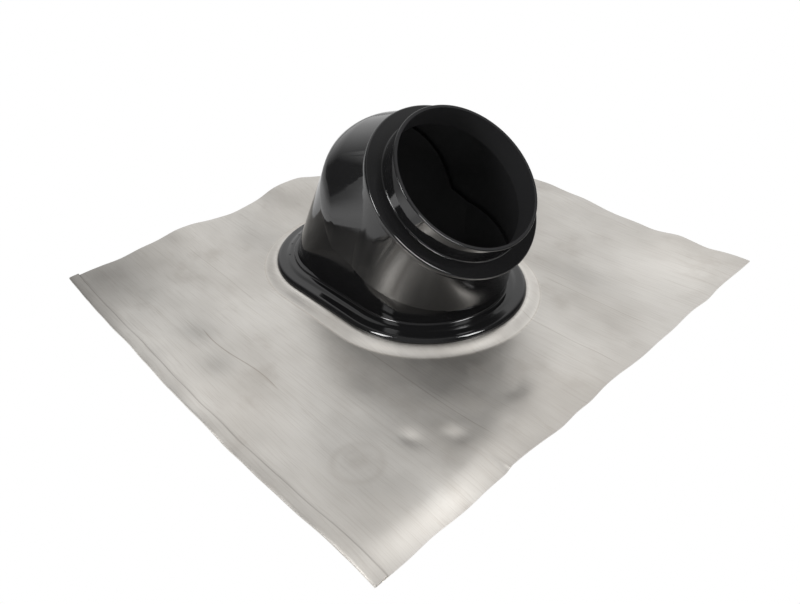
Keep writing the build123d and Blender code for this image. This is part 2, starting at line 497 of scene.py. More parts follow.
def placed(tree, scale):
    """Object coordinates, stretched by a scale along each axis."""
    place = add_node(tree, "ShaderNodeTexCoord")
    mapping = add_node(tree, "ShaderNodeMapping")
    set_inputs(mapping, {"Scale": scale})
    tree.links.new(place.outputs["Object"], mapping.inputs["Vector"])
    return mapping.outputs["Vector"]


def speckle(tree, scale, size, detail=3.0, roughness=0.55):
    """Noise of a size, on stretched object coordinates."""
    node = add_node(tree, "ShaderNodeTexNoise")
    set_inputs(node, {"Scale": size, "Detail": detail, "Roughness": roughness})
    tree.links.new(placed(tree, scale), node.inputs["Vector"])
    return node.outputs["Fac"]


def ranged(tree, value, low, high, to_low, to_high):
    """Maps a value from one range to another, clamped."""
    node = add_node(tree, "ShaderNodeMapRange")
    set_inputs(node, {"From Min": low, "From Max": high, "To Min": to_low, "To Max": to_high})
    tree.links.new(value, node.inputs["Value"])
    return node.outputs["Result"]


def blended(tree, factor, first, second):
    """Mixes two colours; each is a socket or a plain colour."""
    node = add_node(tree, "ShaderNodeMix", data_type="RGBA")
    tree.links.new(factor, node.inputs["Factor"])
    for name, value in (("A", first), ("B", second)):
        socket = [item for item in node.inputs if item.name == name and item.type == "RGBA"][0]
        if hasattr(value, "is_linked"):
            tree.links.new(value, socket)
        else:
            socket.default_value = (*value, 1)
    return [item for item in node.outputs if item.type == "RGBA"][0]


def bumped(tree, height, strength, distance, under=None):
    """Bump from a height, over another normal if one is given."""
    node = add_node(tree, "ShaderNodeBump")
    set_inputs(node, {"Strength": strength, "Distance": distance})
    tree.links.new(height, node.inputs["Height"])
    if under is not None:
        tree.links.new(under, node.inputs["Normal"])
    return node.outputs["Normal"]


def axes_of(tree):
    """Object coordinates as three values."""
    place = add_node(tree, "ShaderNodeTexCoord")
    axes = add_node(tree, "ShaderNodeSeparateXYZ")
    tree.links.new(place.outputs["Object"], axes.inputs[0])
    return axes.outputs


def worked(tree, operation, first, second=0.0):
    """A maths node on two values, each a socket or a number."""
    node = add_node(tree, "ShaderNodeMath", operation=operation)
    for socket, value in zip(node.inputs, (first, second)):
        if hasattr(value, "is_linked"):
            tree.links.new(value, socket)
        else:
            socket.default_value = value
    return node.outputs[0]


def drawn_line(tree, x_from, x_to, y, sway, turns, width):
    """A thin wavering line along X, 1 on the line and 0 beside it; lengths in metres."""
    axes = axes_of(tree)
    wave = worked(tree, "SINE", worked(tree, "MULTIPLY", axes["X"], turns))
    middle = worked(tree, "ADD", worked(tree, "MULTIPLY", wave, sway), y)
    off = worked(tree, "ABSOLUTE", worked(tree, "SUBTRACT", axes["Y"], middle))
    line = ranged(tree, off, LINE_CORE * width, width, 1, 0)
    half = (x_to - x_from) / 2
    from_mid = worked(tree, "ABSOLUTE", worked(tree, "SUBTRACT", axes["X"], x_from + half))
    return worked(tree, "MULTIPLY", line, ranged(tree, from_mid, LINE_FULL * half, half, 1, 0))


def reach_of(tree, first, second):
    """Length of a flat step, from its two parts."""
    squares = [worked(tree, "MULTIPLY", part, part) for part in (first, second)]
    return worked(tree, "SQRT", worked(tree, "ADD", *squares))


def drawn_ring(tree, x, y, radius, width):
    """A soft ring mark, 1 on the ring and 0 beside it; lengths in metres."""
    axes = axes_of(tree)
    across = worked(tree, "SUBTRACT", axes["X"], x)
    up = worked(tree, "SUBTRACT", axes["Y"], y)
    off = worked(tree, "SUBTRACT", reach_of(tree, across, up), radius)
    return ranged(tree, worked(tree, "ABSOLUTE", off), 0, width, 1, 0)


def rolled_aluminium():
    """Soft rolled aluminium with fine rolling lines along X, smudges, scratches and dried marks, a
    painted shadow line along the fold and painted light and shade.
    """
    sheet = bpy.context.scene.flue_sheet
    material, tree, surface = new_material("rolled_aluminium")
    stain_and_shade = tuple(sheet.stain_and_shade)
    lines = speckle(tree, (6, 260, 60), 5.0, 4.0)
    long_lines = speckle(tree, (1, 70, 1), 6.0, 3.0, 0.7)
    smudges = speckle(tree, (1, 1.3, 1), 16.0, 5.0, 0.6)
    clouds = speckle(tree, (1, 1.6, 1), 6.0, 3.0)
    dulled = ranged(tree, clouds, 0.38, 0.68, 0, 1)
    metal = blended(tree, dulled, tuple(sheet.metal), tuple(sheet.dull))
    for pattern, low, high, depth in (
        (smudges, 0.56, 0.8, 0.4),
        (long_lines, 0.56, 0.78, 0.34),
        (lines, 0.5, 0.75, 0.3),
    ):
        metal = blended(tree, ranged(tree, pattern, low, high, 0, depth), metal, stain_and_shade)
    axes = axes_of(tree)
    # Painted shadow: a dark line along the inner edge of the near fold, in the stain colour at half
    # strength
    square = worked(tree, "MULTIPLY", axes["X"], axes["X"])
    bow = worked(tree, "MULTIPLY", square, sheet.edge_bow * 4 / sheet.length ** 2)
    inward = worked(tree, "SUBTRACT", bow, axes["Y"])
    hem_shadow = worked(tree, "SUBTRACT", inward, sheet.width / 2 - sheet.hem_width - HEM_SHADOW_INSET)
    hem_shadow = ranged(tree, worked(tree, "ABSOLUTE", hem_shadow), *HEM_SHADOW_WIDTH, 0.5, 0)
    metal = blended(tree, hem_shadow, metal, tuple(0.5 * part for part in stain_and_shade))
    marks = [(drawn_line(tree, *line), depth) for *line, depth in SHEET_LINES]
    marks += [(drawn_ring(tree, *ring), depth) for *ring, depth in SHEET_RINGS]
    along = worked(tree, "MAXIMUM", worked(tree, "SUBTRACT", sheet.slot_back, axes["X"]), 0)
    along = worked(tree, "MAXIMUM", along, worked(tree, "SUBTRACT", axes["X"], sheet.slot_front))
    away = reach_of(tree, along, axes["Y"])
    off = worked(tree, "SUBTRACT", away, sheet.seat_foot - FOOT_LINE_INSET)
    foot_line = ranged(tree, worked(tree, "ABSOLUTE", off), *FOOT_LINE_WIDTH, 1, 0)
    marks.append((foot_line, FOOT_LINE_DEPTH))
    for mark, depth in marks:
        metal = blended(tree, worked(tree, "MULTIPLY", mark, depth), metal, stain_and_shade)
    # Painted light and shade: the per-point value from the sheet's patches and the seat's slope scales
    # the metal's colour
    tone = add_node(tree, "ShaderNodeAttribute", attribute_name="tone")
    painted_metal = add_node(tree, "ShaderNodeVectorMath", operation="SCALE")
    tree.links.new(metal, painted_metal.inputs[0])
    tree.links.new(tone.outputs["Fac"], painted_metal.inputs["Scale"])
    tree.links.new(painted_metal.outputs[0], surface.inputs["Base Color"])
    set_inputs(surface, {"Metallic": 0.94})
    tree.links.new(ranged(tree, smudges, 0.3, 0.7, 0.36, 0.5), surface.inputs["Roughness"])
    normal = bumped(tree, lines, 0.16, 0.0004)
    normal = bumped(tree, speckle(tree, (1, 1, 1), 28.0, 2.0), 0.1, 0.004, normal)
    tree.links.new(normal, surface.inputs["Normal"])
    return material


def tipped(tree, lean):
    """Shading normal with the flat sides tipped, up for a lean over 0 and else down."""
    shape = add_node(tree, "ShaderNodeNewGeometry")
    axes = add_node(tree, "ShaderNodeSeparateXYZ")
    tree.links.new(shape.outputs["Normal"], axes.inputs[0])
    side = ranged(tree, worked(tree, "ABSOLUTE", axes.outputs["Y"]), *SIDE_FACING, 0, lean)
    tip = add_node(tree, "ShaderNodeCombineXYZ")
    tree.links.new(side, tip.inputs["Z"])
    total = add_node(tree, "ShaderNodeVectorMath", operation="ADD")
    tree.links.new(shape.outputs["Normal"], total.inputs[0])
    tree.links.new(tip.outputs[0], total.inputs[1])
    level = add_node(tree, "ShaderNodeVectorMath", operation="NORMALIZE")
    tree.links.new(total.outputs[0], level.inputs[0])
    return level.outputs[0]


def black_gloss(name, lean, wall_shine, low_shine):
    """Glossy black moulded plastic with faint dust; its walls have their own shine, upper and lower."""
    cowl = bpy.context.scene.flue_cowl
    material, tree, surface = new_material(name)
    dust = ranged(tree, speckle(tree, (1, 1, 1), 60.0, 6.0, 0.7), 0.62, 0.85, 0, 0.35)
    black = blended(tree, dust, tuple(cowl.plastic), tuple(cowl.dust))
    tree.links.new(black, surface.inputs["Base Color"])
    rough = cowl.gloss_roughness
    uneven = ranged(tree, speckle(tree, (1, 1, 1), 14.0), 0.3, 0.7, rough - 0.04, rough + 0.06)
    tree.links.new(uneven, surface.inputs["Roughness"])
    set_inputs(surface, {"IOR": 1.5})
    axes = axes_of(tree)
    # Painted shade: less shine darkens the walls below these heights, except at the front and just
    # above the step
    shine = ranged(tree, axes["Z"], *SHINE_HEIGHTS, low_shine, wall_shine)
    shine = worked(tree, "MAXIMUM", shine, ranged(tree, axes["X"], *SHINE_FRONT, 0, wall_shine))
    low, high = (cowl.step_top + height for height in FOOT_HEIGHTS)
    shine = worked(tree, "MAXIMUM", shine, ranged(tree, axes["Z"], low, high, FOOT_SHINE, 0))
    tree.links.new(shine, surface.inputs["Specular IOR Level"])
    normal = bumped(tree, speckle(tree, (1, 1, 1), 9.0, 1.0), 0.1, 0.006, tipped(tree, lean))
    tree.links.new(normal, surface.inputs["Normal"])
    return material


def black_inside():
    """Duller black of the mouldings' inside, lighter in colour than the outside's as painted light."""
    cowl = bpy.context.scene.flue_cowl
    material, _, surface = new_material("black_inside")
    black = (*(INSIDE_PAINTED_LIFT * part for part in cowl.plastic), 1)
    set_inputs(surface, {"Base Color": black, "Roughness": 0.55, "Specular IOR Level": 0.12})
    return material


def darken_inside(piece, lapped):
    """Gives the faces that look into the cowl, or are lapped by the hood, the duller black."""
    cowl = bpy.context.scene.flue_cowl
    sheet = bpy.context.scene.flue_sheet
    piece.data.materials.append(bpy.data.materials.get("black_inside") or black_inside())
    top, axis = bend_place(cowl.tilt)
    corner, rims = rim_planes()
    middle = [Vector((x, 0, 0)) for x in (sheet.slot_back, sheet.slot_front)]
    middle.append(Vector((0, 0, cowl.dome_height)))
    middle += [bend_place(cowl.tilt * part / AXIS_PARTS)[0] for part in range(AXIS_PARTS + 1)]
    lowest = cowl.step_top + cowl.foot_round
    for face in piece.data.polygons:
        reach = face.center - top
        if reach.dot(axis) > -cowl.shoulder:
            beside = (reach - axis * reach.dot(axis)).length
            inside = beside < cowl.bore_radius + BORE_SLACK
        else:
            inward = min((point - face.center for point in middle), key=lambda step: step.length)
            inside = face.normal.dot(inward) > INSIDE_FACING * inward.length
        if lapped and all((face.center - corner).dot(rim) > MM for rim in rims):
            inside = True
        face.material_index = 1 if inside and face.center.z > lowest else 0


def finish_piece(piece, material, node):
    """Gives a piece its material, hangs it under the root body and hides the CAD node it stands for."""
    piece.data.materials.clear()
    piece.data.materials.append(material)
    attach(piece, "root")
    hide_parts(node)


def combine(piece, other, operation):
    """Joins, cuts or intersects a piece with another, which is used up."""
    apply_modifier(piece, "BOOLEAN", object=other, operation=operation, solver="EXACT")
    bpy.data.objects.remove(other, do_unlink=True)


def cut(piece, point, normal):
    """Cuts away what lies in front of a plane and closes the cut."""
    open_edit(piece, "FACE", whole=True)
    bpy.ops.mesh.bisect(plane_co=point, plane_no=normal, use_fill=True, clear_outer=True)
    close_edit()


def extrude(step):
    """Extrudes what is selected in edit mode by a step."""
    bpy.ops.mesh.extrude_region_move(TRANSFORM_OT_translate={"value": step})


def circle(name, radius, place, filled):
    """A flat circle of points as a new piece."""
    bpy.ops.object.select_all(action="DESELECT")
    bpy.ops.mesh.primitive_circle_add(
        vertices=ROUND, radius=radius, fill_type="NGON" if filled else "NOTHING", location=place
    )
    piece = bpy.context.object
    piece.name = name
    settle()
    return piece


def merge_doubles():
    """Merges points that coincide, in edit mode, and turns the faces outwards."""
    bpy.ops.mesh.select_all(action="SELECT")
    bpy.ops.mesh.remove_doubles(threshold=MERGE)
    bpy.ops.mesh.normals_make_consistent(inside=False)


def bend_place(turn):
    """Centre of the barrel at a turn of its bend, and its direction there."""
    cowl = bpy.context.scene.flue_cowl
    radius = cowl.bend_radius
    pivot = bpy.context.scene.flue_sheet.slot_front + radius
    centre = Vector((pivot - radius * cos(turn), 0, cowl.bend_height + radius * sin(turn)))
    return centre, Vector((sin(turn), 0, cos(turn)))


def barrel(radius, low):
    """The bent barrel from under height low to past the shoulder."""
    cowl = bpy.context.scene.flue_cowl
    front = bpy.context.scene.flue_sheet.slot_front
    piece = circle("barrel", radius, (front, 0, low - radius), False)
    open_edit(piece, "EDGE", whole=True)
    extrude((0, 0, cowl.bend_height - low + radius))
    turn = cowl.tilt + BARREL_PAST
    centre = (front + cowl.bend_radius, 0, cowl.bend_height)
    bpy.ops.mesh.spin(steps=BEND_STEPS, angle=-turn, center=centre, axis=(0, 1, 0))
    bpy.ops.mesh.select_all(action="SELECT")
    bpy.ops.mesh.fill_holes(sides=0)
    merge_doubles()
    close_edit()
    return piece


def cowl_back(ball, low):
    """Back of the cowl: skirt, part of a ball and crown, closed along the barrel's middle."""
    cowl = bpy.context.scene.flue_cowl
    front = bpy.context.scene.flue_sheet.slot_front
    dome = Vector((0, 0, cowl.dome_height))
    down = Vector((-sin(cowl.skirt_lean), 0, -cos(cowl.skirt_lean)))
    along = Vector((cos(cowl.crown_rise), 0, sin(cowl.crown_rise)))
    skirt_end = dome + down * ((cowl.dome_height - low) / cos(cowl.skirt_lean) + ball)
    crown_end = dome + along * (CROWN_RUN * ball)

    def past_crown(vertex):
        return (vertex.co - crown_end).dot(along)

    piece = circle("cowl_back", ball, (0, 0, 0), False)
    open_edit(piece, "VERT")
    choose(piece, "verts", lambda v: v.co.x > MERGE)
    bpy.ops.mesh.delete(type="VERT")
    bpy.ops.mesh.select_all(action="SELECT")
    turn = Matrix.Rotation(cowl.skirt_lean, 4, "Y")
    mesh = bmesh.from_edit_mesh(piece.data)
    for vertex in mesh.verts:
        vertex.co = turn @ vertex.co + skirt_end
    bmesh.update_edit_mesh(piece.data)
    extrude(dome - skirt_end)
    turn = -(pi / 2 - cowl.skirt_lean - cowl.crown_rise)
    bpy.ops.mesh.spin(steps=BALL_STEPS, angle=turn, center=dome, axis=(0, 1, 0))
    extrude(crown_end - dome)
    merge_doubles()
    side = ball - NEAR
    choose(piece, "verts", lambda v: past_crown(v) > -MERGE and abs(v.co.y) > side)
    bpy.ops.mesh.edge_face_add()
    path = [crown_end] + [bend_place(part * cowl.tilt)[0] for part in BACK_TURNS]
    path += [Vector((front, 0, low - ball)), skirt_end]
    for here, there in zip(path, path[1:]):
        extrude(there - here)
    merge_doubles()
    choose(piece, "verts", lambda v: -MERGE < past_crown(v) < NEAR
           and (v.co - dome).dot(along) > 0.1 * ball)
    bpy.ops.mesh.edge_face_add()
    choose(piece, "verts", lambda v: abs((v.co - skirt_end).dot(down)) < NEAR
           and v.co.x < skirt_end.x + ball / 2)
    bpy.ops.mesh.edge_face_add()
    for sign in (-1, 1):
        choose(piece, "verts", lambda v: v.co.y * sign > side)
        bpy.ops.mesh.edge_face_add()
    merge_doubles()
    close_edit()
    return piece


def cowl_form(inset, low, end_gap):
    """Solid form of the cowl, drawn in by inset, from height low to end_gap under the shoulder."""
    cowl = bpy.context.scene.flue_cowl
    piece = cowl_back(cowl.dome_radius - inset, low)
    combine(piece, barrel(cowl.barrel_radius - inset, low), "UNION")
    cut(piece, (0, 0, low), (0, 0, -1))
    centre, direction = bend_place(cowl.tilt)
    cut(piece, centre - direction * end_gap, direction)
    return piece


def rim_planes():
    """Corner of the hood's rim, and the normals of its two planes, towards the hood."""
    cowl = bpy.context.scene.flue_cowl
    corner = Vector((cowl.rim_x, 0, cowl.rim_height))
    front = Vector((sin(cowl.rim_front), 0, cos(cowl.rim_front)))
    back = Vector((cos(cowl.rim_back), 0, sin(cowl.rim_back)))
    return corner, (front, back)


def rim_wedge(shift):
    """Block in front of both rim planes, each moved inwards by shift."""
    cowl = bpy.context.scene.flue_cowl
    along_front = Vector((cos(cowl.rim_front), 0, -sin(cowl.rim_front)))
    along_back = Vector((-sin(cowl.rim_back), 0, cos(cowl.rim_back)))
    step = shift / cos(cowl.rim_front + cowl.rim_back)
    corner = rim_planes()[0] + (along_front + along_back) * step
    bpy.ops.object.select_all(action="DESELECT")
    bpy.ops.mesh.primitive_cube_add(size=2)
    piece = bpy.context.object
    for vertex in piece.data.vertices:
        x, y, z = vertex.co
        place = corner + along_front * (WEDGE_LONG * (x + 1)) + along_back * (WEDGE_LONG * (z + 1))
        vertex.co = place + Vector((0, WEDGE_HALF * y, 0))
    return piece


def collar_block():
    """Shoulder ring and collar as one turned block, with rounded edges."""
    cowl = bpy.context.scene.flue_cowl
    piece = circle("collar", cowl.ring_radius, (0, 0, -cowl.ring_height), True)
    open_edit(piece, "FACE", whole=True)
    extrude((0, 0, cowl.ring_height))
    bpy.ops.mesh.inset(thickness=cowl.ring_radius - cowl.collar_radius)
    extrude((0, 0, cowl.collar_height))
    bpy.ops.mesh.select_mode(type="EDGE")
    for radius, height, size in (
        (cowl.ring_radius, 0, RING_ROUND),
        (cowl.collar_radius, 0, COLLAR_FOOT_ROUND),
        (cowl.collar_radius, cowl.collar_height, COLLAR_TOP_ROUND),
        (cowl.ring_radius, -cowl.ring_height, RING_UNDER_ROUND),
    ):
        choose(piece, "edges", lambda e: all(
            abs(v.co.z - height) < 0.1 * MM and abs(v.co.xy.length - radius) < 0.2 * MM
            for v in e.verts
        ))
        bpy.ops.mesh.bevel(offset=size, segments=6, affect="EDGES")
    merge_doubles()
    close_edit()
    centre = bend_place(cowl.tilt)[0]
    piece.rotation_euler = (0, cowl.tilt, 0)
    piece.location = centre
    make_active(piece)
    settle()
    return piece


def rod(radius, start, direction, run):
    """A round rod from a start along a direction."""
    bpy.ops.object.select_all(action="DESELECT")
    bpy.ops.mesh.primitive_cylinder_add(
        vertices=ROUND, radius=radius, depth=run, location=start + direction * (run / 2),
        rotation=direction.to_track_quat("Z", "Y").to_euler(),
    )
    piece = bpy.context.object
    settle()
    return piece


def slot_ring(profile):
    """A closed profile of radius and height, led round the slot line."""
    sheet = bpy.context.scene.flue_sheet
    piece = circle("slot_ring", profile[0][0], (0, 0, 0), False)
    turn = Matrix.Rotation(pi / ROUND, 4, "Z")
    centres = (Vector((sheet.slot_back, 0, 0)), Vector((sheet.slot_front, 0, 0)))

    def lay(vertices, ends, radius, height):
        for vertex, end in zip(vertices, ends):
            out = Vector((vertex.co.x - end.x, vertex.co.y, 0)).normalized()
            vertex.co = end + out * radius + Vector((0, 0, height))

    open_edit(piece, "EDGE", whole=True)
    mesh = bmesh.from_edit_mesh(piece.data)
    for vertex in mesh.verts:
        vertex.co = turn @ vertex.co
        vertex.co += centres[vertex.co.x > 0]
    middle = (sheet.slot_back + sheet.slot_front) / 2
    lay(mesh.verts, [centres[v.co.x > middle] for v in mesh.verts], *profile[0])
    bmesh.update_edit_mesh(piece.data)
    for radius, height in (*profile[1:], profile[0]):
        extrude((0, 0, 0))
        mesh = bmesh.from_edit_mesh(piece.data)
        chosen = [v for v in mesh.verts if v.select]
        lay(chosen, [centres[v.co.x > middle] for v in chosen], radius, height)
        bmesh.update_edit_mesh(piece.data)
    merge_doubles()
    close_edit()
    return piece


def arc(centre, radius, start, end, count):
    """Points of an arc in a profile, angles in degrees."""
    turns = [radians(start + (end - start) * i / (count - 1)) for i in range(count)]
    return [(centre[0] + radius * cos(turn), centre[1] + radius * sin(turn)) for turn in turns]


def finish_edges(piece):
    """Clears slivers, keeps the crease beside the flat sides sharp and shades the rest smooth."""
    open_edit(piece, "EDGE", whole=True)
    bpy.ops.mesh.remove_doubles(threshold=SLIVER)
    choose(piece, "edges", lambda e: len(e.link_faces) == 2
           and e.calc_face_angle() > radians(SIDE_CREASE)
           and max(abs(f.normal.y) for f in e.link_faces) > ON_SIDE)
    bpy.ops.mesh.mark_sharp()
    close_edit()
    soften(piece, COWL_SMOOTH)


class OBJECT_OT_flue_sheet(bpy.types.Operator):
    """Models the hand-bent flashing sheet"""

    bl_idname = "object.flue_sheet"
    bl_label = "Flashing Sheet"

    def execute(self, context):
        sheet = context.scene.flue_sheet
        columns = round(sheet.length / sheet.cell)
        rows = round(sheet.width / sheet.cell)
        bpy.ops.object.select_all(action="DESELECT")
        bpy.ops.mesh.primitive_grid_add(x_subdivisions=columns, y_subdivisions=rows, size=1)
        piece = context.object
        piece.name = "hand_bent_sheet"
        open_edit(piece, "FACE", whole=True)
        bpy.ops.transform.resize(value=(sheet.length, sheet.width, 1))
        reach = sheet.seat_foot + SEAT_MARGIN
        start = sheet.seat_top - SEAT_MARGIN
        choose(piece, "faces", lambda f: start < slot_distance(*f.calc_center_median().xy) < reach)
        bpy.ops.mesh.subdivide(number_cuts=2)
        choose(piece, "faces", lambda f: slot_distance(*f.calc_center_median().xy) < sheet.opening)
        bpy.ops.mesh.delete(type="FACE")
        for vertex in bmesh.from_edit_mesh(piece.data).verts:
            x, y = vertex.co.xy
            if vertex.is_boundary and slot_distance(x, y) < sheet.opening + 2 * sheet.cell:
                middle = min(max(x, sheet.slot_back), sheet.slot_front)
                stretch = sheet.opening / slot_distance(x, y)
                vertex.co.xy = (middle + (x - middle) * stretch, y * stretch)
        bmesh.update_edit_mesh(piece.data)
        close_edit()
        for vertex in piece.data.vertices:
            x, y = vertex.co.xy
            y *= 1 - sheet.edge_bow * (2 * x / sheet.length) ** 2 / (sheet.width / 2)
            x += sheet.corner_skew * max(x * y, 0) * 4 / (sheet.length * sheet.width)
            upper = eased((x - WANDER_START) / WANDER_GROW)
            x += sheet.edge_wander * upper * noise_at(0, y, *WANDER_NOISE)
            vertex.co = (x, y, sheet_height(x, y))
        open_edit(piece, "EDGE")
        limit = sheet.width / 2 - sheet.edge_bow - sheet.cell / 2
        choose(piece, "edges", lambda e: e.is_boundary and all(v.co.y < -limit for v in e.verts)
               and abs(e.verts[0].co.x - e.verts[1].co.x) > sheet.cell / 2)
        for out, up in HEM_STEPS:
            extrude((0, -out, up * sheet.hem_rise))
        extrude((0, sheet.hem_width, 0))
        for vertex in bmesh.from_edit_mesh(piece.data).verts:
            if vertex.select:
                vertex.co.z = sheet_height(vertex.co.x, vertex.co.y) + sheet.hem_rise
        bmesh.update_edit_mesh(piece.data)
        bpy.ops.mesh.select_all(action="SELECT")
        bpy.ops.mesh.normals_make_consistent(inside=False)
        close_edit()
        if sum(face.normal.z * face.area for face in piece.data.polygons) < 0:
            open_edit(piece, "FACE", whole=True)
            bpy.ops.mesh.flip_normals()
            close_edit()
        apply_modifier(piece, "SOLIDIFY", thickness=sheet.thickness, offset=-1)
        # Painted light and shade, stored per point for the sheet's material
        tone = piece.data.attributes.new("tone", "FLOAT", "POINT")
        tone.data.foreach_set("value", [sheet_light_paint(v.co.x, v.co.y) for v in piece.data.vertices])
        soften(piece, SHEET_SMOOTH)
        finish_piece(piece, rolled_aluminium(), "flashing_sheet")
        return {"FINISHED"}


class OBJECT_OT_flue_base(bpy.types.Operator):
    """Models the base moulding"""

    bl_idname = "object.flue_base"
    bl_label = "Base Moulding"

    def execute(self, context):
        cowl = context.scene.flue_cowl
        sheet = context.scene.flue_sheet
        inner = cowl.spigot_radius - cowl.wall
        wall_in = cowl.dome_radius - 1.5 * cowl.wall
        rim, foot = cowl.rim_round, cowl.foot_round
        profile = [
            (inner, cowl.spigot_low),
            (cowl.spigot_radius, cowl.spigot_low),
            (cowl.spigot_radius, cowl.flange_low),
            (cowl.flange_radius - FLANGE_CHAMFER, cowl.flange_low),
            (cowl.flange_radius, cowl.flange_low + FLANGE_CHAMFER),
        ]
        profile += arc((cowl.flange_radius - rim, cowl.flange_top - rim), rim, 0, 90, RIM_POINTS)
        for part in range(1, STEP_PARTS):
            rise = (cowl.step_top - cowl.flange_top) * eased(part / STEP_PARTS)
            out = (STEP_PARTS // 2 - part) * STEP_SPACING * MM
            profile.append((cowl.step_radius + out, cowl.flange_top + rise))
        profile += arc((cowl.foot_radius, cowl.step_top + foot), foot, 270, 190, FOOT_POINTS)
        profile += [
            (wall_in, cowl.step_top + FOOT_COVER * foot),
            (wall_in, cowl.base_low),
            (inner, cowl.base_low),
        ]
        piece = slot_ring(profile)
        piece.name = "black_base"
        skin = cowl.wall + cowl.lap_gap
        combine(piece, cowl_form(skin, cowl.base_low + BASE_SINK, cowl.lap), "UNION")
        combine(piece, cowl_form(skin + cowl.wall, cowl.base_low - MM, 0), "DIFFERENCE")
        combine(piece, rim_wedge(cowl.lap), "DIFFERENCE")
        for sign in (-1, 1):
            for turn in map(radians, PIN_TURNS):
                place = Vector((sheet.slot_back, 0, cowl.step_top - PIN_DEPTH))
                place += Vector((-cos(turn), sign * sin(turn), 0)) * PIN_LINE
                pin = rod(cowl.pin_radius, place, Vector((0, 0, 1)), PIN_REACH)
                combine(piece, pin, "DIFFERENCE")
        finish_edges(piece)
        gloss = black_gloss("black_gloss_base", -cowl.side_tip, *BASE_SHINE)
        finish_piece(piece, gloss, "base_moulding")
        darken_inside(piece, True)
        return {"FINISHED"}


class OBJECT_OT_flue_hood(bpy.types.Operator):
    """Models the hood moulding"""

    bl_idname = "object.flue_hood"
    bl_label = "Hood Moulding"

    def round_rim(self, piece):
        """Rounds the edges of the hood's cut rim."""
        cowl = bpy.context.scene.flue_cowl
        corner, rims = rim_planes()

        def on_rim(face):
            away = face.calc_center_median() - corner
            return any(
                face.normal.dot(rim) < -ON_RIM and abs(away.dot(rim)) < RIM_SLIVER for rim in rims
            )

        open_edit(piece, "EDGE", whole=True)
        bpy.ops.mesh.remove_doubles(threshold=RIM_SLIVER)
        choose(piece, "edges", lambda e: sum(on_rim(f) for f in e.link_faces) == 1)
        bpy.ops.mesh.bevel(offset=cowl.edge_round, segments=4, affect="EDGES", clamp_overlap=True)
        close_edit()

    def execute(self, context):
        cowl = context.scene.flue_cowl
        centre, direction = bend_place(cowl.tilt)
        piece = cowl_form(0, cowl.step_top, HOOD_SINK)
        piece.name = "black_hood"
        combine(piece, collar_block(), "UNION")
        combine(piece, cowl_form(cowl.wall, cowl.step_top - MM, cowl.shoulder), "DIFFERENCE")
        start = centre - direction * (3 * cowl.shoulder)
        run = cowl.collar_height + 4 * cowl.shoulder
        combine(piece, rod(cowl.bore_radius, start, direction, run), "DIFFERENCE")
        combine(piece, rim_wedge(0), "INTERSECT")
        self.round_rim(piece)
        finish_edges(piece)
        gloss = black_gloss("black_gloss_hood", cowl.side_tip, *HOOD_SHINE)
        finish_piece(piece, gloss, "hood_moulding")
        darken_inside(piece, False)
        return {"FINISHED"}


def add_camera():
    """Camera at the photograph's viewpoint."""
    stage = bpy.context.scene.flue_stage
    heading, down = stage.azimuth, stage.elevation
    forward = Vector((-sin(heading) * cos(down), cos(heading) * cos(down), -sin(down)))
    right = Vector((cos(heading), sin(heading), 0))
    up = right.cross(forward)
    turned_right = right * cos(stage.roll) - up * sin(stage.roll)
    turned_up = right * sin(stage.roll) + up * cos(stage.roll)
    camera = bpy.data.objects.new("camera", bpy.data.cameras.new("camera"))
    camera.data.lens = stage.lens
    camera.data.sensor_width = 36
    camera.data.clip_start = 0.01
    turn = Matrix((turned_right, turned_up, -forward)).transposed().to_4x4()
    camera.matrix_world = Matrix.Translation(stage.camera_place) @ turn
    bpy.context.scene.collection.objects.link(camera)
    bpy.context.scene.camera = camera


def add_floor():
    """Pale floor, white to the camera beside the sheet, and white paper there in reflections."""
    stage = bpy.context.scene.flue_stage
    sheet = bpy.context.scene.flue_sheet
    bpy.ops.object.select_all(action="DESELECT")
    bpy.ops.mesh.primitive_plane_add(size=stage.floor_size, location=(0, 0, -FLOOR_DROP))
    floor = bpy.context.object
    floor.name = "studio_floor"
    settle()
    material, tree, surface = new_material("pale_floor")
    pale = (*stage.floor, 1)
    set_inputs(surface, {"Base Color": pale, "Roughness": 0.9, "Specular IOR Level": 0.1})
    glow = add_node(tree, "ShaderNodeEmission")
    path = add_node(tree, "ShaderNodeLightPath")
    axes = axes_of(tree)
    off = {axis: worked(tree, "ABSOLUTE", axes[axis]) for axis in "XY"}
    past_x = worked(tree, "GREATER_THAN", off["X"], sheet.length / 2 - FOOTPRINT_INSET["X"])
    past_y = worked(tree, "GREATER_THAN", off["Y"], sheet.width / 2 - FOOTPRINT_INSET["Y"])
    outside = worked(tree, "MAXIMUM", past_x, past_y)
    paper = worked(tree, "MULTIPLY", outside, PAPER_GLOW)
    for axis, reach in PAPER_REACH:
        within = ranged(tree, off[axis], reach, PAPER_FADE * reach, 1, 0)
        paper = worked(tree, "MULTIPLY", paper, within)
    mirrored = worked(tree, "MULTIPLY", paper, path.outputs["Is Glossy Ray"])
    white = worked(tree, "MULTIPLY", outside, path.outputs["Is Camera Ray"])
    seen = worked(tree, "MAXIMUM", mirrored, white)
    mix = add_node(tree, "ShaderNodeMixShader")
    tree.links.new(seen, mix.inputs["Fac"])
    tree.links.new(surface.outputs[0], mix.inputs[1])
    tree.links.new(glow.outputs[0], mix.inputs[2])
    tree.links.new(mix.outputs[0], tree.nodes["Material Output"].inputs["Surface"])
    floor.data.materials.append(material)


def compass(azimuth, elevation):
    """Direction of an azimuth from +X towards +Y and an elevation, in degrees."""
    azimuth, elevation = radians(azimuth), radians(elevation)
    return Vector((cos(azimuth) * cos(elevation), sin(azimuth) * cos(elevation), sin(elevation)))


